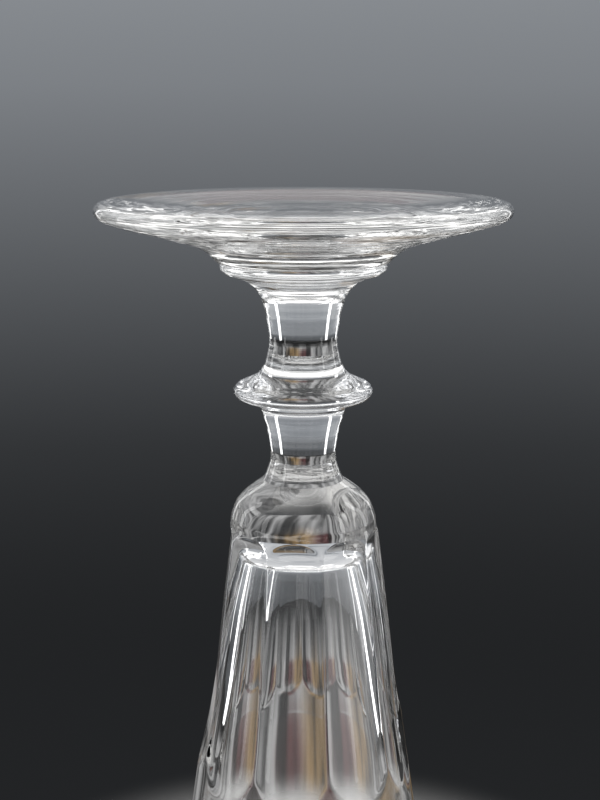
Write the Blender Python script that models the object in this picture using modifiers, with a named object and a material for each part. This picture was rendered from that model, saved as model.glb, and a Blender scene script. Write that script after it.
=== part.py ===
"""A cut crystal champagne flute, upside down on its rim, as six hot-joined pieces of glass.

Metres, +Z up. The rim lies in the plane z = 0, the axis of the flute is the Z axis, and the
foot is on top. Outlines are written as (radius, drop), in millimetres, where the drop is how
far a point lies below the flat face of the foot.
"""
import math

import bpy

# ---- driving dimensions, millimetres ----------------------------------------------------
HEIGHT = 150.0            # rim to foot
GAP = 0.3                 # clearance kept at each hot joint
CLEAR = 3.0               # how far a cutter reaches past the glass
STEPS = 36                # segments round a turned piece, a multiple of the facet count
FACETS = 9                # flat panels cut round the bowl
FACET_TURN = -97.0        # degrees from +X, the direction that one panel faces

FOOT_RADIUS = 37.6
FOOT_RING_INNER = 29.0    # the flat resting ring of the foot runs from here outwards
FOOT_RING_OUTER = 36.2
FOOT_HOLLOW = 1.3         # depth of the slight hollow inside the ring

COLLAR_TOP = 11.0         # drops of the five joints
LOWER_STEM_TOP = 17.6
KNOP_TOP = 30.0
UPPER_STEM_TOP = 40.2
BOWL_TOP = 51.7

CAVITY_FLOOR = 65.6       # drop of the closed end of the bowl's hollow
CAVITY_MOUTH_RADIUS = 25.0
RIM_RADIUS = 26.4

# ---- outlines (radius, drop) ------------------------------------------------------------
FOOT_EDGE = [(FOOT_RING_OUTER, 0.0), (37.05, 0.35), (FOOT_RADIUS, 1.3), (37.3, 2.3), (36.4, 2.95)]
FOOT_SLOPE = [(36.4, 2.95), (33.0, 4.05), (25.8, 5.95), (20.4, 7.55), (17.4, 9.2),
              (15.9, COLLAR_TOP - GAP)]

COLLAR_RIM = [(14.8, COLLAR_TOP), (15.1, 11.5), (15.1, 12.2), (14.3, 12.9)]
COLLAR_SWEEP = [(14.3, 12.9), (12.4, 13.5), (10.2, 14.5), (8.7, 15.95), (7.8, LOWER_STEM_TOP - GAP)]

LOWER_STEM = [(7.7, LOWER_STEM_TOP), (6.75, 21.1), (6.25, 24.8), (6.5, 27.3), (7.15, KNOP_TOP - GAP)]

KNOP_ABOVE = [(7.25, KNOP_TOP), (7.9, 31.1), (8.9, 32.0), (10.9, 32.95), (12.4, 33.75), (12.85, 34.7)]
KNOP_BELOW = [(12.85, 34.7), (12.5, 35.5), (11.7, 36.05), (9.6, 36.7), (7.95, 37.9),
              (7.4, UPPER_STEM_TOP - GAP)]

UPPER_STEM = [(7.3, UPPER_STEM_TOP), (6.45, 43.2), (6.05, 47.1), (6.65, 49.7), (7.45, BOWL_TOP - GAP)]

BOWL_SHOULDER = [(7.6, BOWL_TOP), (9.4, 52.9), (11.1, 54.3), (12.55, 56.0), (13.5, 58.4), (13.7, 60.2)]
BOWL_BLANK = [(13.7, 60.2), (14.6, 64.3), (17.2, 80.8), (19.8, 102.8), (20.75, 110.3),
              (RIM_RADIUS, HEIGHT)]
PANEL_FACE = [(13.9, 60.3), (13.5, 61.6), (13.58, 63.7), (15.0, 75.8), (15.9, 83.8), (16.9, 92.8)]
PANEL_RUN_OUT = [(16.9, 92.8), (18.5, 102.8), (20.75, 110.3), (24.0, 116.8)]

CAVITY_END = [(0.0, CAVITY_FLOOR), (7.4, 65.7), (8.9, 66.6), (9.9, 69.4), (12.0, 76.8)]
CAVITY_WALL = [(12.0, 76.8), (14.9, 91.8), (18.6, 110.8), (CAVITY_MOUTH_RADIUS, HEIGHT)]


def smooth_curve(points, pieces):
    """Points on a Catmull-Rom curve through the given points, with its ends included."""
    ghosts = [points[0], *points, points[-1]]
    curve = []
    for a, b, c, d in zip(ghosts, ghosts[1:], ghosts[2:], ghosts[3:]):
        for step in range(pieces):
            t = step / pieces
            curve.append(tuple(
                0.5 * (2 * q + (r - p) * t + (2 * p - 5 * q + 4 * r - s) * t ** 2
                       + (3 * q - p - 3 * r + s) * t ** 3)
                for p, q, r, s in zip(a, b, c, d)))
    curve.append(points[-1])
    return curve


def in_place(outline):
    """An outline in millimetres, as (x, z) in metres above the rim."""
    return [(radius / 1000, (HEIGHT - drop) / 1000) for radius, drop in outline]


def make_collection(name):
    collection = bpy.data.collections.new(name)
    bpy.context.scene.collection.children.link(collection)
    return collection


def glass(name, colour, roughness):
    material = bpy.data.materials.new(name)
    material.use_nodes = True
    shader = material.node_tree.nodes["Principled BSDF"]
    shader.inputs["Base Color"].default_value = (*colour, 1)
    shader.inputs["Roughness"].default_value = roughness
    shader.inputs["Metallic"].default_value = 0
    shader.inputs["Transmission Weight"].default_value = 1
    shader.inputs["IOR"].default_value = 1.54
    return material


def turned(name, outline, collection, material=None, steps=STEPS):
    """A closed turned piece: an outline from the axis, down the outer side, to the axis."""
    points = in_place(outline)
    mesh = bpy.data.meshes.new(name)
    mesh.from_pydata([(x, 0, z) for x, z in points], [(i, i + 1) for i in range(len(points) - 1)], [])
    piece = bpy.data.objects.new(name, mesh)
    collection.objects.link(piece)
    screw = piece.modifiers.new("turn", "SCREW")
    screw.axis = "Z"
    screw.steps = steps
    screw.render_steps = steps
    screw.use_merge_vertices = True
    screw.merge_threshold = 0.00001
    screw.use_smooth_shade = True
    if material:
        mesh.materials.append(material)
    return piece


def as_cutter(piece):
    piece.hide_render = True
    piece.display_type = "WIRE"
    return piece


def cut(piece, cutter, operation):
    boolean = piece.modifiers.new("cut", "BOOLEAN")
    boolean.operation = operation
    boolean.solver = "EXACT"
    boolean.object = cutter


def capped(outline, top_drop, bottom_drop):
    """An outline closed to the axis by a flat disc at each end."""
    return [(0, top_drop), *outline, (0, bottom_drop)]


def make_foot(parts, material):
    hollow = [(0, FOOT_HOLLOW), (14.0, FOOT_HOLLOW * 0.8), (24.0, FOOT_HOLLOW * 0.3),
              (FOOT_RING_INNER, 0)]
    outline = (smooth_curve(hollow, 2) + smooth_curve(FOOT_EDGE, 2)
               + smooth_curve(FOOT_SLOPE, 2)[1:] + [(0, COLLAR_TOP - GAP)])
    return turned("foot", outline, parts, material)


def make_collar(parts, material):
    outline = smooth_curve(COLLAR_RIM, 2) + smooth_curve(COLLAR_SWEEP, 2)[1:]
    return turned("collar", capped(outline, COLLAR_TOP, LOWER_STEM_TOP - GAP), parts, material)


def make_lower_stem(parts, material):
    outline = smooth_curve(LOWER_STEM, 2)
    return turned("lower_stem", capped(outline, LOWER_STEM_TOP, KNOP_TOP - GAP), parts, material)


def make_knop(parts, material):
    outline = smooth_curve(KNOP_ABOVE, 2) + smooth_curve(KNOP_BELOW, 2)[1:]
    return turned("knop", capped(outline, KNOP_TOP, UPPER_STEM_TOP - GAP), parts, material)


def make_upper_stem(parts, material):
    outline = smooth_curve(UPPER_STEM, 2)
    return turned("upper_stem", capped(outline, UPPER_STEM_TOP, BOWL_TOP - GAP), parts, material)


def make_bowl(parts, cutters, material):
    """The blown blank, with its hollow, ground flat on nine sides."""
    blank = smooth_curve(BOWL_SHOULDER, 1) + smooth_curve(BOWL_BLANK, 2)[1:]
    bowl = turned("bowl", capped(blank, BOWL_TOP, HEIGHT), parts, material)

    corner = 1 / math.cos(math.pi / FACETS)
    face = smooth_curve(PANEL_FACE, 1) + smooth_curve(PANEL_RUN_OUT, 2)[1:]
    sides = [(RIM_RADIUS, BOWL_TOP - CLEAR), *face, (RIM_RADIUS + CLEAR, HEIGHT + CLEAR)]
    corners = [(radius * corner, drop) for radius, drop in sides]
    form = turned("panel_form", capped(corners, BOWL_TOP - CLEAR, HEIGHT + CLEAR), cutters, steps=FACETS)
    form.rotation_euler.z = math.radians(FACET_TURN + 180 / FACETS)
    cut(bowl, as_cutter(form), "INTERSECT")

    hollow = smooth_curve(CAVITY_END, 1) + smooth_curve(CAVITY_WALL, 2)[1:]
    mouth_slope = (hollow[-1][0] - hollow[-2][0]) / (hollow[-1][1] - hollow[-2][1])
    mouth = (CAVITY_MOUTH_RADIUS + CLEAR * mouth_slope, HEIGHT + CLEAR)
    inside = turned("bowl_hollow", [*hollow[:-1], mouth, (0, mouth[1])], cutters)
    cut(bowl, as_cutter(inside), "DIFFERENCE")
    return bowl


def main():
    for thing in list(bpy.data.objects):
        bpy.data.objects.remove(thing)
    parts = make_collection("champagne_flute")
    cutters = make_collection("cutters")

    make_foot(parts, glass("foot_crystal", (0.93, 0.93, 0.92), 0.02))
    make_collar(parts, glass("collar_crystal", (0.91, 0.92, 0.92), 0.03))
    make_lower_stem(parts, glass("lower_stem_crystal", (0.92, 0.93, 0.93), 0.02))
    make_knop(parts, glass("knop_crystal", (0.92, 0.91, 0.91), 0.03))
    make_upper_stem(parts, glass("upper_stem_crystal", (0.92, 0.93, 0.93), 0.02))
    make_bowl(parts, cutters, glass("bowl_crystal", (0.93, 0.93, 0.93), 0.02))


main()
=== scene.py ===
# %% [markdown]
# # A cut crystal champagne flute, standing upside down
#
# This lesson makes the looks of a small champagne flute in clear lead crystal. It stands on its
# rim with its foot on top. The real flute is made hot, from six gathers of glass that are fused
# one on the other: foot, collar, lower stem, knop, upper stem and bowl. When it is cold, nine
# flat panels are ground round the bowl and polished.
#
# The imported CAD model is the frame. It fixes every size, and each new piece takes the place of
# one CAD piece.

# %% Load the frame
import functools
import math

import bpy
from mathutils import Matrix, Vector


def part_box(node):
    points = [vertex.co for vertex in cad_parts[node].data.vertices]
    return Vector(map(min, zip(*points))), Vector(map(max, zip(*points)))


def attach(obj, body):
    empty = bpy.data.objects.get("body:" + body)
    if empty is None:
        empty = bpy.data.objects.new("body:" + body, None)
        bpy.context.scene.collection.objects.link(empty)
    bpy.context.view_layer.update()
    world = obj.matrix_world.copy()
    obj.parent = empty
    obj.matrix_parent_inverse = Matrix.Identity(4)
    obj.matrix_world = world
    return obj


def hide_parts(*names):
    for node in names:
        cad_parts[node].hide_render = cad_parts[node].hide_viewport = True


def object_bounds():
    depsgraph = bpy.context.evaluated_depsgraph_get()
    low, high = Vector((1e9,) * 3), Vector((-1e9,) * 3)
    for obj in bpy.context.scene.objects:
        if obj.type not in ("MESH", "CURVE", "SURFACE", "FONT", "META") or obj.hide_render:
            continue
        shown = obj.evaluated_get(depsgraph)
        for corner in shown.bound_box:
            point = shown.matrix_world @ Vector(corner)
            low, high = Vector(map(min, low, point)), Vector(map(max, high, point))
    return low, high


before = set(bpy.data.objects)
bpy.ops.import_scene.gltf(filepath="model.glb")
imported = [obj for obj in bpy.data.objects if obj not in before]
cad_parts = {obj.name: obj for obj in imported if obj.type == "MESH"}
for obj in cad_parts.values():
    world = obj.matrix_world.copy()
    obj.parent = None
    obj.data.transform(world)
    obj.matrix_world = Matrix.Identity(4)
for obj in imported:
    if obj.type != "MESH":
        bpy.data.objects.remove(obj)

cad_low, cad_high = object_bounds()
MM = 0.001
FOOT_FACE = cad_high.z
print("the flute stands", round(FOOT_FACE / MM, 1), "mm tall, with", len(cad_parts), "pieces")

# %% [markdown]
# ## Where the gathers meet
#
# The CAD pieces keep a hair's breadth between them. Real glass has fused there, so each joint is
# put half way across that gap, and both neighbours are modelled right up to it.


# %% The height of each joint
def joint_height(upper, lower):
    return (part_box(upper)[0].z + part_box(lower)[1].z) / 2


ORDER = ["foot", "collar", "lower_stem", "knop", "upper_stem", "bowl"]
JOINTS = {pair: joint_height(*pair) for pair in zip(ORDER, ORDER[1:])}
for (upper, lower), height in JOINTS.items():
    print(upper, "meets", lower, round((FOOT_FACE - height) / MM, 2), "mm below the foot's face")

# %% [markdown]
# ## Outlines
#
# A turned piece is known by its outline: radius, and drop below the flat face of the foot, both
# in millimetres. A few points say the shape, and a smooth curve through them gives the many that
# a lens-like piece of glass needs. Glass bends light at every point, so a coarse outline would
# show as rings.


# %% A smooth curve through a few points
def smooth_curve(points, spacing):
    """Points about a spacing apart on a Catmull-Rom curve; a list gives one spacing per span."""
    spacings = spacing if isinstance(spacing, list) else [spacing] * len(points)
    ghosts = [points[0], *points, points[-1]]
    curve = []
    for a, b, c, d, gap in zip(ghosts, ghosts[1:], ghosts[2:], ghosts[3:], spacings):
        count = max(1, round(math.dist(b, c) / gap))
        for step in range(count):
            t = step / count
            curve.append(tuple(
                0.5 * (2 * q + (r - p) * t + (2 * p - 5 * q + 4 * r - s) * t ** 2
                       + (3 * q - p - 3 * r + s) * t ** 3)
                for p, q, r, s in zip(a, b, c, d)))
    curve.append(points[-1])
    return curve


def drop_of(upper, lower):
    return (FOOT_FACE - JOINTS[upper, lower]) / MM


# %% [markdown]
# ## Tool rings
#
# Hot glass is turned against a wooden block and steel jacks, and they leave faint rings. They
# are only hundredths of a millimetre deep, but clear glass shows them as fine light and dark
# lines. They are put in the outline itself, as a small wave along its length.


# %% Rings left by the tools
SECOND_RING, SECOND_START = 1.73, 1.1        # a second, finer ring so that the first doesn't repeat


def tooled(outline, depth, spacing):
    """The same outline with faint rings, which die out at both ends."""
    length = sum(math.dist(a, b) for a, b in zip(outline, outline[1:]))
    waved, along = [outline[0]], 0
    for before, here, after in zip(outline, outline[1:], outline[2:]):
        along += math.dist(before, here)
        run = math.dist(before, after)
        normal = ((before[1] - after[1]) / run, (after[0] - before[0]) / run)
        fade = math.sin(math.pi * along / length) ** 0.5
        turns = 2 * math.pi * along / spacing
        second = math.sin(SECOND_RING * turns + SECOND_START)
        wave = depth * fade * (0.6 * math.sin(turns) + 0.4 * second)
        waved.append((here[0] + normal[0] * wave, here[1] + normal[1] * wave))
    return [*waved, outline[-1]]


# %% [markdown]
# ## Turning a piece
#
# By hand, a turned piece starts as one vertex, which is walked along the outline with Extrude
# and then spun once round the axis. The same operators do it here. A plane merged to its centre
# gives the first vertex.


# %% Walk, then spin
AROUND = 240


def deselect_all():
    if bpy.context.object and bpy.context.object.mode != "OBJECT":
        bpy.ops.object.mode_set(mode="OBJECT")
    bpy.ops.object.select_all(action="DESELECT")


def turn(name, outline, around=AROUND):
    """A closed turned piece from an outline of (radius, drop) that starts and ends on the axis."""
    deselect_all()
    bpy.ops.mesh.primitive_plane_add(size=MM)
    piece = bpy.context.object
    piece.name = piece.data.name = name
    bpy.ops.object.mode_set(mode="EDIT")
    bpy.ops.mesh.merge(type="CENTER")
    places = [(radius * MM, FOOT_FACE - drop * MM) for radius, drop in outline]
    bpy.ops.transform.translate(value=(places[0][0], 0, places[0][1]))
    for (x, z), (next_x, next_z) in zip(places, places[1:]):
        bpy.ops.mesh.extrude_region_move(
            TRANSFORM_OT_translate={"value": (next_x - x, 0, next_z - z)})
    bpy.ops.mesh.select_all(action="SELECT")
    bpy.ops.mesh.spin(steps=around, angle=2 * math.pi, center=(0, 0, 0), axis=(0, 0, 1))
    bpy.ops.mesh.select_all(action="SELECT")
    bpy.ops.mesh.remove_doubles(threshold=0.002 * MM)
    bpy.ops.mesh.normals_make_consistent(inside=False)
    bpy.ops.object.mode_set(mode="OBJECT")
    print(name, "has", len(piece.data.polygons), "faces")
    return piece


# %% [markdown]
# ## The foot
#
# The foot is a wide, thin, slightly conical disc. It is on top here, so its resting face looks
# up: a flat ring round a slight hollow. The edge is rounded, and the cone gets steeper as it
# nears the collar.

# %% Turn the foot
FINE = 0.25        # millimetres between the points of an outline
CREASE = 0.12      # depth of the little groove at each joint

foot_end = drop_of("foot", "collar")
foot_hollow = smooth_curve([(0, 1.3), (8, 1.24), (16, 1.0), (24, 0.42), (29, 0.0)], 0.6)
foot_edge = smooth_curve([(36.2, 0), (37.05, 0.35), (37.6, 1.3), (37.3, 2.3), (36.4, 2.95)], 0.15)
foot_slope = smooth_curve([(36.4, 2.95), (33, 4.05), (25.8, 5.95), (20.4, 7.55), (17.4, 9.2),
                           (15.9, foot_end - 0.15), (15.3, foot_end)], FINE)
foot = turn("foot_glass", tooled(foot_hollow, 0.03, 3.3) + foot_edge
            + tooled(foot_slope, 0.02, 3.1)[1:] + [(0, foot_end)])

# %% [markdown]
# ## The collar
#
# The collar is a small disc, which the glassmaker drops between stem and foot to hide where they
# join. Its rim is nearly sharp, and it sweeps in to the stem with many tool rings.

# %% Turn the collar
collar_end = drop_of("collar", "lower_stem")
collar_rim = smooth_curve([(14.6, foot_end), (15.1, 11.3), (15.1, 12.2), (14.3, 12.9)], 0.12)
collar_sweep = smooth_curve([(14.3, 12.9), (12.4, 13.5), (10.2, 14.5), (8.7, 15.95),
                             (7.8 - CREASE, collar_end)], FINE)
collar = turn("collar_glass", [(0, foot_end), *collar_rim, *tooled(collar_sweep, 0.03, 1.3)[1:],
                               (0, collar_end)])

# %% [markdown]
# ## The stem and its knop
#
# Two short waisted stretches of stem carry a bladed knop, a ring squeezed out to a rounded blade.
# The knop keeps a short neck on each side, and the joints lie at those necks.

# %% Turn the lower stem, the knop and the upper stem
knop_start = drop_of("lower_stem", "knop")
knop_end = drop_of("knop", "upper_stem")
stem_end = drop_of("upper_stem", "bowl")

lower_outline = smooth_curve([(7.8 - CREASE, collar_end), (6.75, 21.1), (6.25, 24.8), (6.5, 27.3),
                              (7.25 - CREASE, knop_start)], FINE)
lower_stem = turn("lower_stem_glass", [(0, collar_end), *tooled(lower_outline, 0.018, 2.9),
                                       (0, knop_start)])

knop_outline = smooth_curve([(7.25 - CREASE, knop_start), (7.9, 31.1), (8.9, 32), (10.9, 32.95),
                             (12.4, 33.75), (12.85, 34.7), (12.5, 35.5), (11.7, 36.05), (9.6, 36.7),
                             (7.95, 37.9), (7.4 - CREASE, knop_end)], 0.15)
knop = turn("knop_glass", [(0, knop_start), *tooled(knop_outline, 0.012, 2.2), (0, knop_end)])

upper_outline = smooth_curve([(7.4 - CREASE, knop_end), (6.45, 43.2), (6.05, 47.1), (6.65, 49.7),
                              (7.6 - CREASE, stem_end)], FINE)
upper_stem = turn("upper_stem_glass", [(0, knop_end), *tooled(upper_outline, 0.018, 2.6),
                                       (0, stem_end)])

# %% [markdown]
# ## The bowl before it is cut
#
# The bowl is blown first as a round blank: a solid rounded shoulder, a hollow that starts some
# way below it, and a wall that thins towards the rim. One outline runs down the outside, round
# the rim and back up the inside to the axis.

# %% Turn the round blank
FLUTE_HEIGHT = FOOT_FACE / MM
RIM_OUTER, RIM_INNER = 26.4, 25.0
BLANK_POINTS = [(7.6 - CREASE, stem_end), (9.4, 52.9), (11.1, 54.3), (12.55, 56), (13.5, 58.4),
                (13.7, 60.2), (14.6, 64.3), (17.2, 80.8), (19.8, 102.8), (20.75, 110.3),
                (RIM_OUTER, FLUTE_HEIGHT - 0.5)]
# millimetres between points along each stretch, and points round the bowl
SHOULDER, WALL, RUN_OUT, PLAIN = 0.2, 0.75, 0.4, 1.1
BOWL_AROUND = 324
outside = smooth_curve(BLANK_POINTS, [SHOULDER] * 6 + [WALL, WALL, RUN_OUT, PLAIN])
lip = [(RIM_OUTER - 0.2, FLUTE_HEIGHT - 0.1), (RIM_OUTER - 0.5, FLUTE_HEIGHT),
       (RIM_INNER + 0.4, FLUTE_HEIGHT), (RIM_INNER + 0.1, FLUTE_HEIGHT - 0.1)]
inside = smooth_curve([(RIM_INNER, FLUTE_HEIGHT - 0.5), (18.6, 110.8), (14.9, 91.8), (12, 76.8),
                       (9.9, 69.4)], PLAIN)
floor_of_hollow = tooled(smooth_curve([(9.9, 69.4), (8.9, 66.7), (7.2, 65.85), (4.5, 65.75),
                                       (2.2, 65.5), (0, 65.35)], 0.3), 0.03, 2.1)
bowl_outline = [(0, stem_end), *outside, *lip, *inside, *floor_of_hollow[1:]]
bowl = turn("bowl_glass", bowl_outline, BOWL_AROUND)

# %% [markdown]
# ## Cutting the nine panels
#
# A wheel grinds each panel flat across, and the panel's depth changes along the bowl: it starts
# as a rounded arch on the shoulder and runs out as a round tongue above the plain band at the
# rim. A Boolean would do this cut, but it leaves slivers along the arches, and clear glass shows
# each of them. So every outside point that stands proud of the wheel's plane is drawn back
# to it, and a tiny rounding is left where two surfaces meet, as polishing does.
#
# The panels don't all end at the same height: four neighbours at the back stop 7 or 8 mm short
# of the others. These lengths were chosen for the looks, and the CAD piece has nine equal panels.

# %% Grind the panels
PANELS = 9
PANEL_TURN = math.radians(-97)
ARRIS, ARCH = 0.2 * MM, 0.16 * MM        # rounding between two panels, and round a panel's end
panel_depth = smooth_curve([(14.2, 60.0), (13.72, 60.6), (13.5, 61.5), (13.48, 62.5), (13.58, 63.7),
                            (14.0, 67.2), (15, 75.8), (15.9, 83.8), (16.9, 92.8), (18.5, 102.8),
                            (20.75, 110.3), (24, 116.8)], 0.3)
RUN_OUT_START, PANEL_END = 92.8, 110.3
CUT_SHORT = [0, 0, -1, 7, 8, 8, 7, 1, 0]         # millimetres, panel by panel round the bowl
INSIDE_BY, INSIDE_SHARE = 0.6 * MM, 0.1          # a point so far within the planes isn't ground
SMALLEST_GROUND = 13                             # millimetres from the axis
HOLLOW_MARGIN = 0.3                              # millimetres either side of the hollow's wall


@functools.lru_cache(maxsize=None)
def panel_radius(drop, panel):
    """How far from the axis the middle of a panel lies, in metres, or None off the panel."""
    if drop > RUN_OUT_START:
        run_out = PANEL_END - RUN_OUT_START
        drop = RUN_OUT_START + (drop - RUN_OUT_START) * run_out / (run_out - CUT_SHORT[panel])
    for (r0, d0), (r1, d1) in zip(panel_depth, panel_depth[1:]):
        if d0 <= drop <= d1:
            return (r0 + (r1 - r0) * (drop - d0) / (d1 - d0)) * MM
    return None


def soft_min(a, b, rounding):
    """The smaller of two distances, eased over where they are nearly equal."""
    near = max(rounding - abs(a - b), 0)
    return min(a, b) - near * near / (4 * rounding)


def ground(point):
    """Where a point of the blank lies after cutting, as a share of its radius."""
    drop = round((FOOT_FACE - point.z) / MM, 4)
    radius = math.hypot(point.x, point.y)
    step = 2 * math.pi / PANELS
    turn_of_point = (math.atan2(point.y, point.x) - PANEL_TURN) / step
    near = round(turn_of_point)
    planes = []
    for panel in (near - 1, near, near + 1):
        flat = panel_radius(drop, panel % PANELS)
        if flat is not None:
            planes.append(flat / math.cos((turn_of_point - panel) * step))
    if not planes or radius < min(planes) - INSIDE_BY - INSIDE_SHARE * radius:
        return 1
    planes = sorted(planes)[:2]
    cut = soft_min(*planes, ARRIS) if len(planes) == 2 else planes[0]
    return soft_min(radius, cut, ARCH) / radius


moved = 0
inner_radius = {round(drop, 1): radius for radius, drop in inside}
for vertex in bowl.data.vertices:
    drop = (FOOT_FACE - vertex.co.z) / MM
    radius = math.hypot(vertex.co.x, vertex.co.y) / MM
    in_the_hollow = abs(inner_radius.get(round(drop, 1), 0) - radius) < HOLLOW_MARGIN
    if in_the_hollow or radius < SMALLEST_GROUND:
        continue
    share = ground(vertex.co)
    if share < 1:
        vertex.co.x *= share
        vertex.co.y *= share
        moved += 1
print(moved, "points of the blank were ground back to the", PANELS, "panels")

# %% [markdown]
# ## Shading maths as Python
#
# A material here is a sum of small patterns. The class below wraps a socket, so that such a sum
# can be written as a Python expression, and each operator adds its Math node.


# %% Sockets with operators
class Wire:
    """A value that runs along a wire of a node tree."""

    def __init__(self, tree, socket):
        self.tree, self.socket = tree, socket

    def _math(self, operation, first, second):
        return add_node(self.tree, "ShaderNodeMath", {"operation": operation}, {0: first, 1: second})

    def __add__(self, other): return self._math("ADD", self, other)
    def __radd__(self, other): return self._math("ADD", other, self)
    def __mul__(self, other): return self._math("MULTIPLY", self, other)
    def __rmul__(self, other): return self._math("MULTIPLY", other, self)


def add_node(tree, kind, settings=None, inputs=None, output=0):
    """Adds one node: its settings first, then the values or wires of its sockets."""
    node = tree.nodes.new(kind)
    for key, value in (settings or {}).items():
        if key == "stops":
            node.color_ramp.interpolation = "B_SPLINE"
            stops = node.color_ramp.elements
            stops[-1].position, stops[-1].color = value[-1]
            stops[0].position, stops[0].color = value[0]
            for position, colour in value[1:-1]:
                stops.new(position).color = colour
        else:
            setattr(node, key, value)
    for key, value in (inputs or {}).items():
        if isinstance(value, Wire):
            tree.links.new(value.socket, node.inputs[key])
        else:
            node.inputs[key].default_value = value
    return Wire(tree, node.outputs[output])


# %% [markdown]
# ## Crystal
#
# Lead crystal is clear, bends light more than window glass and has a fire polish. What makes it
# look real is small: rings and cords in the body, and a faint haze where it has been handled.
# The haze goes to Roughness, and the rings and cords to Bump.

# %% The crystal of each piece
CRYSTAL_INDEX = 1.54
RING_STRETCH = (60, 60, 2500)        # flat and thin
CORD_STRETCH = (420, 420, 14)        # upright and narrow
HAZE_SCALE = 160.0
OBJECT = 3                           # the Object output of a Texture Coordinate node


def stretched_noise(tree, place, stretch):
    """Soft noise whose blotches are squeezed along each axis by its stretch."""
    spread = add_node(tree, "ShaderNodeMapping", inputs={"Vector": place, "Scale": stretch})
    return add_node(tree, "ShaderNodeTexNoise",
                    inputs={"Vector": spread, "Scale": 1.0, "Detail": 2.0})


def soft_step(tree, value, start, end, before, after, kind="SMOOTHSTEP"):
    """One number before the start, another after the end, and a smooth change between them."""
    return add_node(tree, "ShaderNodeMapRange", {"interpolation_type": kind},
                    {"Value": value, "From Min": start, "From Max": end,
                     "To Min": before, "To Max": after})


def crystal(name, tint, rings, cords, haze):
    """Clear crystal with turned rings, upright cords and a little haze."""
    material = bpy.data.materials.new(name)
    material.use_nodes = True
    tree = material.node_tree
    shader = tree.nodes["Principled BSDF"]
    place = add_node(tree, "ShaderNodeTexCoord", output=OBJECT)
    ring = stretched_noise(tree, place, RING_STRETCH)
    cord = stretched_noise(tree, place, CORD_STRETCH)
    wipe = add_node(tree, "ShaderNodeTexNoise",
                    inputs={"Vector": place, "Scale": HAZE_SCALE, "Detail": 4.0})
    height = ring * rings + cord * cords
    bump = add_node(tree, "ShaderNodeBump",
                    inputs={"Strength": 0.3, "Distance": 0.05 * MM, "Height": height})
    tree.links.new(bump.socket, shader.inputs["Normal"])
    tree.links.new((wipe * haze).socket, shader.inputs["Roughness"])
    shader.inputs["Base Color"].default_value = (*tint, 1)
    shader.inputs["IOR"].default_value = CRYSTAL_INDEX
    shader.inputs["Transmission Weight"].default_value = 1
    return material


def fused_joint():
    """The inside of a joint, where one gather has melted into the next: nothing is seen."""
    material = bpy.data.materials.new("fused_joint")
    material.use_nodes = True
    material.node_tree.nodes["Principled BSDF"].inputs["Alpha"].default_value = 0
    return material


FINISHES = {
    "foot": crystal("foot_crystal", (0.975, 0.965, 0.94), 1.1, 0.3, 0.04),
    "collar": crystal("collar_crystal", (0.98, 0.985, 0.985), 0.9, 0.2, 0.03),
    "lower_stem": crystal("lower_stem_crystal", (0.98, 0.985, 0.985), 0.7, 1.6, 0.02),
    "knop": crystal("knop_crystal", (0.98, 0.98, 0.985), 0.4, 0.3, 0.03),
    "upper_stem": crystal("upper_stem_crystal", (0.98, 0.985, 0.985), 0.7, 1.6, 0.02),
    "bowl": crystal("bowl_crystal", (0.985, 0.985, 0.985), 0.1, 0.6, 0.02),
}
FUSED = fused_joint()

# %% [markdown]
# ## Putting the pieces together
#
# Each piece gets its crystal, and the discs at its joints get the fused material, so that light
# crosses them as if the glass were one. Each piece then stands for its CAD piece.


# %% Finish each piece
def finish_piece(piece, node):
    piece.data.materials.append(FINISHES[node])
    piece.data.materials.append(FUSED)
    levels = [height for pair, height in JOINTS.items() if node in pair]
    discs = 0
    for face in piece.data.polygons:
        heights = [piece.data.vertices[i].co.z for i in face.vertices]
        if any(max(abs(h - level) for h in heights) < 0.01 * MM for level in levels):
            face.material_index = 1
            discs += 1
    deselect_all()
    piece.select_set(True)
    bpy.context.view_layer.objects.active = piece
    bpy.ops.object.shade_smooth_by_angle(angle=math.radians(35))
    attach(piece, "root")
    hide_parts(node)
    print(piece.name, "stands for", node, "with", discs, "hidden joint faces")


finish_piece(foot, "foot")
finish_piece(collar, "collar")
finish_piece(lower_stem, "lower_stem")
finish_piece(knop, "knop")
finish_piece(upper_stem, "upper_stem")
finish_piece(bowl, "bowl")
bowl.visible_shadow = False        # thin clear walls let nearly all the light through to the floor

# %% [markdown]
# ## Floor
#
# The floor is plain and pale under the flute and fades out to nothing further off. This fade is a
# painted pool of light with a painted fall-off, so that the glass stands before a dark ground, as
# glass is photographed in a studio.

# %% A pale floor with a painted pool of light and a soft end
deselect_all()
bpy.ops.mesh.primitive_circle_add(vertices=96, radius=0.3, fill_type="NGON")
floor = bpy.context.object
floor.name = "floor"
floor_painted_light_pool = bpy.data.materials.new("floor_painted_light_pool")
floor_painted_light_pool.use_nodes = True
tree = floor_painted_light_pool.node_tree
shader = tree.nodes["Principled BSDF"]
place = add_node(tree, "ShaderNodeTexCoord", output=OBJECT)
far = add_node(tree, "ShaderNodeVectorMath", {"operation": "LENGTH"}, {0: place}, output=1)
# painted pool of light: the floor fades out with distance from the flute, in place of light falling
# off
shown = soft_step(tree, far, 0.025, 0.085, 1.0, 0.0, "SMOOTHERSTEP")
tree.links.new(shown.socket, shader.inputs["Alpha"])
shader.inputs["Base Color"].default_value = (0.64, 0.63, 0.61, 1)
shader.inputs["Roughness"].default_value = 0.7
floor.data.materials.append(floor_painted_light_pool)

# %% [markdown]
# ## Light
#
# Glass is seen by what it bends and mirrors. A dark ground with large soft lights gives bright
# edges, and a lighter sky above fills the foot. The camera doesn't see the lights themselves.

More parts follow.
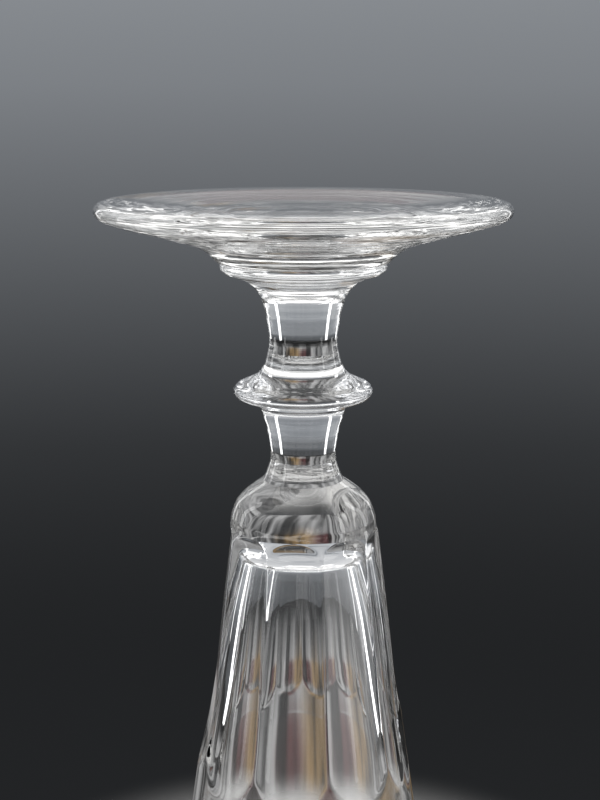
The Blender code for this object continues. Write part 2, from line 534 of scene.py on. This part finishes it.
# %% A dark ground and a pale sky
world = bpy.data.worlds.new("studio")
world.use_nodes = True
bpy.context.scene.world = world
tree = world.node_tree
backdrop = tree.nodes["Background"]
direction = add_node(tree, "ShaderNodeTexCoord", output=0)
upwards = add_node(tree, "ShaderNodeSeparateXYZ", inputs={0: direction}, output=2)
COOL_GREY = (0.94, 1.0, 1.08)
SHADES = [(0.0, 0.03), (0.3, 0.012), (0.38, 0.025), (0.44, 0.1), (0.5, 0.21), (0.6, 0.36)]
stops = [(position, (*(shade * part for part in COOL_GREY), 1)) for position, shade in SHADES]
stops.append((1.0, (1, 1, 1, 1)))
sky = add_node(tree, "ShaderNodeValToRGB", {"stops": stops}, {0: upwards * 0.5 + 0.5})
tree.links.new(sky.socket, backdrop.inputs["Color"])


# %% Soft lights
def soft_light(name, size, place, brightness):
    """A white rectangular light that faces the middle of the flute."""
    data = bpy.data.lights.new(name, "AREA")
    data.shape = "RECTANGLE"
    data.size, data.size_y = size
    data.energy = brightness * math.pi * size[0] * size[1]
    light = bpy.data.objects.new(name, data)
    bpy.context.scene.collection.objects.link(light)
    light.location = place
    aim = (cad_low + cad_high) / 2 - light.location
    light.rotation_euler = aim.to_track_quat("-Z", "Y").to_euler()
    light.visible_camera = False


for side, name in [(-1, "left"), (1, "right")]:
    soft_light(name + "_strip", (0.16, 1.3), (1.0 * side, 0.42, 0.35), 2.4)
    soft_light(name + "_back_strip", (0.10, 1.2), (0.62 * side, 1.0, 0.3), 1.6)
    soft_light(name + "_front_strip", (0.14, 1.2), (0.95 * side, -0.45, 0.3), 1.8)
    soft_light(name + "_card", (0.8, 0.8), (0.8 * side, 0.75, 0.85), 0.65)
    soft_light(name + "_wall", (1.2, 1.2), (1.5 * side, -0.1, 0.5), 0.35)
soft_light("top_box", (1.2, 0.8), (0.0, 0.45, 1.3), 1.0)
soft_light("front_fill", (1.2, 0.8), (0.2, -1.5, 0.9), 0.6)

# %% [markdown]
# ## A soft surround
#
# Cut crystal looks rich when it has something to bend: soft light and dark streaks low down all
# round it, which the camera itself doesn't see. A low ring wall glows faintly with such streaks,
# with a warm patch and a rosy one behind the bowl.

# %% A low glowing ring wall
deselect_all()
bpy.ops.mesh.primitive_cylinder_add(vertices=96, radius=1.2, depth=1.1, end_fill_type="NOTHING",
                                    location=(0, 0, -0.7))
bpy.ops.object.transform_apply(location=True, rotation=False, scale=False)
surround = bpy.context.object
surround.name = "surround"
surround.visible_camera = False
glow = bpy.data.materials.new("surround_glow")
glow.use_nodes = True
tree = glow.node_tree
shader = tree.nodes["Principled BSDF"]
place = add_node(tree, "ShaderNodeTexCoord", output=OBJECT)
height = add_node(tree, "ShaderNodeSeparateXYZ", inputs={0: place}, output=2)
streaks = stretched_noise(tree, place, (6.5, 6.5, 1.0))
streak = soft_step(tree, streaks, 0.36, 0.68, 0.02, 0.4)
fade = soft_step(tree, height, -0.34, -0.16, 1.0, 0.0)


def patch(base, centre, inner, outer, colour):
    """The base colour with a soft round patch of another colour."""
    away = add_node(tree, "ShaderNodeVectorMath", {"operation": "DISTANCE"},
                    {0: place, 1: centre}, output=1)
    share = soft_step(tree, away, inner, outer, 1.0, 0.0)
    return add_node(tree, "ShaderNodeMix", {"data_type": "RGBA"},
                    {0: share, 6: base, 7: (*colour, 1)}, output=2)


WHITE, WARM, MAROON = (1, 1, 1), (1.0, 0.66, 0.30), (0.34, 0.12, 0.12)
colour = patch((*WHITE, 1), (0.26, 1.17, -0.5), 0.08, 0.3, WARM)
colour = patch(colour, (-0.04, 1.2, -0.5), 0.06, 0.22, MAROON)
shown = add_node(tree, "ShaderNodeVectorMath", {"operation": "SCALE"},
                 {0: colour, 3: streak * fade})
tree.links.new(shown.socket, shader.inputs["Emission Color"])
shader.inputs["Emission Strength"].default_value = 1
shader.inputs["Base Color"].default_value = (0, 0, 0, 1)
shader.inputs["Roughness"].default_value = 1
surround.data.materials.append(glow)

# %% [markdown]
# ## Camera
#
# The camera stands a little above the foot and close to the flute, and looks down at it, so the
# foot is seen nearly edge on and the bowl from above.

# %% The camera
EYE_ABOVE_FOOT = 20.5 * MM
EYE_AWAY = 262.4 * MM
EYE_ASIDE = -0.6 * MM
LOOK_DOWN = math.radians(12.29)
LENS, SENSOR = 65.25, 36
camera_data = bpy.data.cameras.new("camera")
camera_data.lens = LENS
camera_data.sensor_width = SENSOR
camera = bpy.data.objects.new("camera", camera_data)
bpy.context.scene.collection.objects.link(camera)
camera.location = (EYE_ASIDE, -EYE_AWAY, FOOT_FACE + EYE_ABOVE_FOOT)
camera.rotation_euler = (math.pi / 2 - LOOK_DOWN, 0, 0)
bpy.context.scene.camera = camera

# %% [markdown]
# ## Light paths
#
# A ray crosses many glass surfaces before it leaves the flute, so it is allowed many bounces.

# %% Enough bounces for glass
cycles = bpy.context.scene.cycles
cycles.max_bounces = 32
cycles.transmission_bounces = 32
cycles.glossy_bounces = 16
cycles.transparent_max_bounces = 48
cycles.use_denoising = True
bpy.context.scene.view_settings.view_transform = "Standard"
